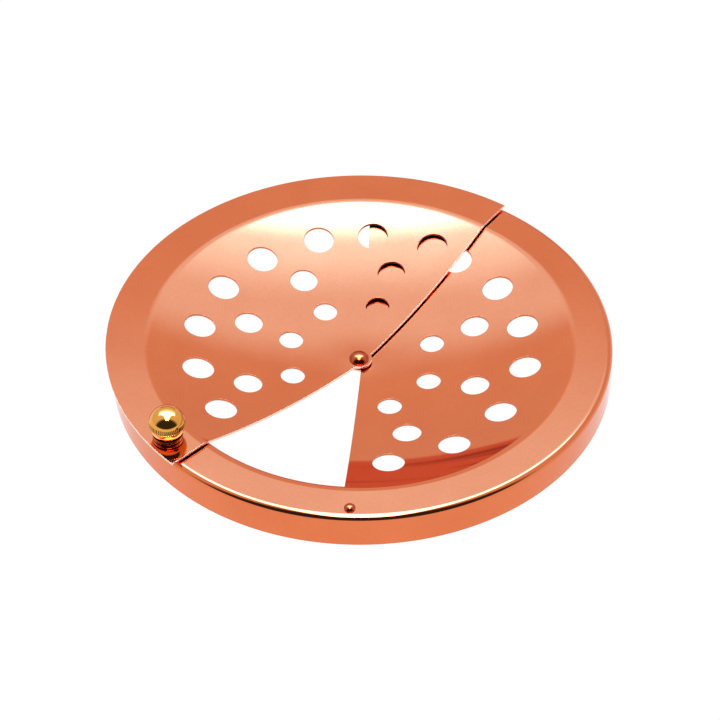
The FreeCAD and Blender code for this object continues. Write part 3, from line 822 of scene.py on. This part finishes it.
def streaked_material():
    """Warm red-brown panel with a few thin dark level streaks."""
    material = bpy.data.materials.new("back_strip")
    material.use_nodes = True
    tree = material.node_tree
    tree.nodes.clear()
    output = node(tree, "ShaderNodeOutputMaterial", 700, 0)
    light = node(tree, "ShaderNodeEmission", 450, 0)
    place = node(tree, "ShaderNodeTexCoord", -600, 0)
    stretch = node(tree, "ShaderNodeMapping", -400, 0)
    stretch.inputs["Scale"].default_value = (2.2, 1.0, 34.0)
    streaks = node(tree, "ShaderNodeTexNoise", -200, 0)
    streaks.inputs["Scale"].default_value = 1.0
    streaks.inputs["Detail"].default_value = 2.0
    shades = node(tree, "ShaderNodeValToRGB", 50, 0)
    shades.color_ramp.elements[0].position = 0.34
    shades.color_ramp.elements[0].color = (0.34, 0.09, 0.06, 1.0)
    shades.color_ramp.elements[1].position = 0.42
    shades.color_ramp.elements[1].color = (0.74, 0.28, 0.2, 1.0)
    links = tree.links
    links.new(place.outputs["Object"], stretch.inputs["Vector"])
    links.new(stretch.outputs["Vector"], streaks.inputs["Vector"])
    links.new(streaks.outputs["Fac"], shades.inputs["Fac"])
    links.new(shades.outputs["Color"], light.inputs["Color"])
    links.new(light.outputs["Emission"], output.inputs["Surface"])
    return material


strip_corners = [(x * STRIP_HALF, STRIP_BEHIND, z) for x, z in (
    (-1, STRIP_LOW), (1, STRIP_LOW), (1, STRIP_HIGH), (-1, STRIP_HIGH))]
card("back_strip", strip_corners, streaked_material())


def make_world():
    """Pale all round but dark above the floor on the camera's side, and plain white to the camera."""
    world = bpy.data.worlds.new("studio")
    bpy.context.scene.world = world
    world.use_nodes = True
    tree = world.node_tree
    tree.nodes.clear()
    output = node(tree, "ShaderNodeOutputWorld", 900, 0)
    surround = node(tree, "ShaderNodeBackground", 400, 0)
    plain = node(tree, "ShaderNodeBackground", 400, -200)
    plain.inputs["Color"].default_value = WHITE
    plain.inputs["Strength"].default_value = BACKDROP
    path = node(tree, "ShaderNodeLightPath", 400, 300)
    mix = node(tree, "ShaderNodeMixShader", 700, 0)
    place = node(tree, "ShaderNodeTexCoord", -800, 0)
    axes = node(tree, "ShaderNodeSeparateXYZ", -600, 0)
    links = tree.links
    links.new(place.outputs["Generated"], axes.inputs["Vector"])
    wall = ramp(tree, axes.outputs["Z"], -300, 200, 0.2, 0.9, 1.06, 1.15)
    front = ramp(tree, axes.outputs["Y"], -300, -100, -0.2, -0.5, 0.0, 1.0)
    raised = ramp(tree, axes.outputs["Z"], -300, -400, 0.02, 0.09, 0.0, 1.0)
    strength = node(tree, "ShaderNodeMix", 200, 0, data_type="FLOAT")
    strength.inputs["B"].default_value = FRONT_WALL
    links.new(calculate(tree, "MULTIPLY", 0, -200, front, raised), strength.inputs["Factor"])
    links.new(wall, strength.inputs["A"])
    links.new(strength.outputs["Result"], surround.inputs["Strength"])
    links.new(path.outputs["Is Camera Ray"], mix.inputs["Fac"])
    links.new(surround.outputs["Background"], mix.inputs[1])
    links.new(plain.outputs["Background"], mix.inputs[2])
    links.new(mix.outputs["Shader"], output.inputs["Surface"])


make_world()


# Camera: a long lens from the front, aimed at the middle of the flange.

CAMERA_DISTANCE = 1.0199
CAMERA_ELEVATION = 42.44
CAMERA_ROLL = 0.69
LENS = 150.4
AIM_LEFT = 0.038
AIM_LOW = 0.413

camera_data = bpy.data.cameras.new("camera")
camera_data.lens = LENS
camera_data.sensor_width = 36.0
camera_data.clip_start = 0.05
camera_data.clip_end = 20.0
camera = bpy.data.objects.new("camera", camera_data)
bpy.context.scene.collection.objects.link(camera)
lift = math.radians(CAMERA_ELEVATION)
aim = Vector((0.0, 0.0, FLANGE_TOP))
camera.location = aim + CAMERA_DISTANCE * Vector((0.0, -math.cos(lift), math.sin(lift)))
looking = Matrix.Rotation(math.radians(90.0) - lift, 4, "X")
nudge = Matrix.Rotation(math.radians(AIM_LEFT), 4, "Y") @ Matrix.Rotation(math.radians(-AIM_LOW), 4, "X")
roll = Matrix.Rotation(math.radians(-CAMERA_ROLL), 4, "Z")
camera.rotation_euler = (looking @ nudge @ roll).to_euler()
bpy.context.scene.camera = camera
bpy.context.scene.view_settings.view_transform = "Standard"

bpy.context.view_layer.update()
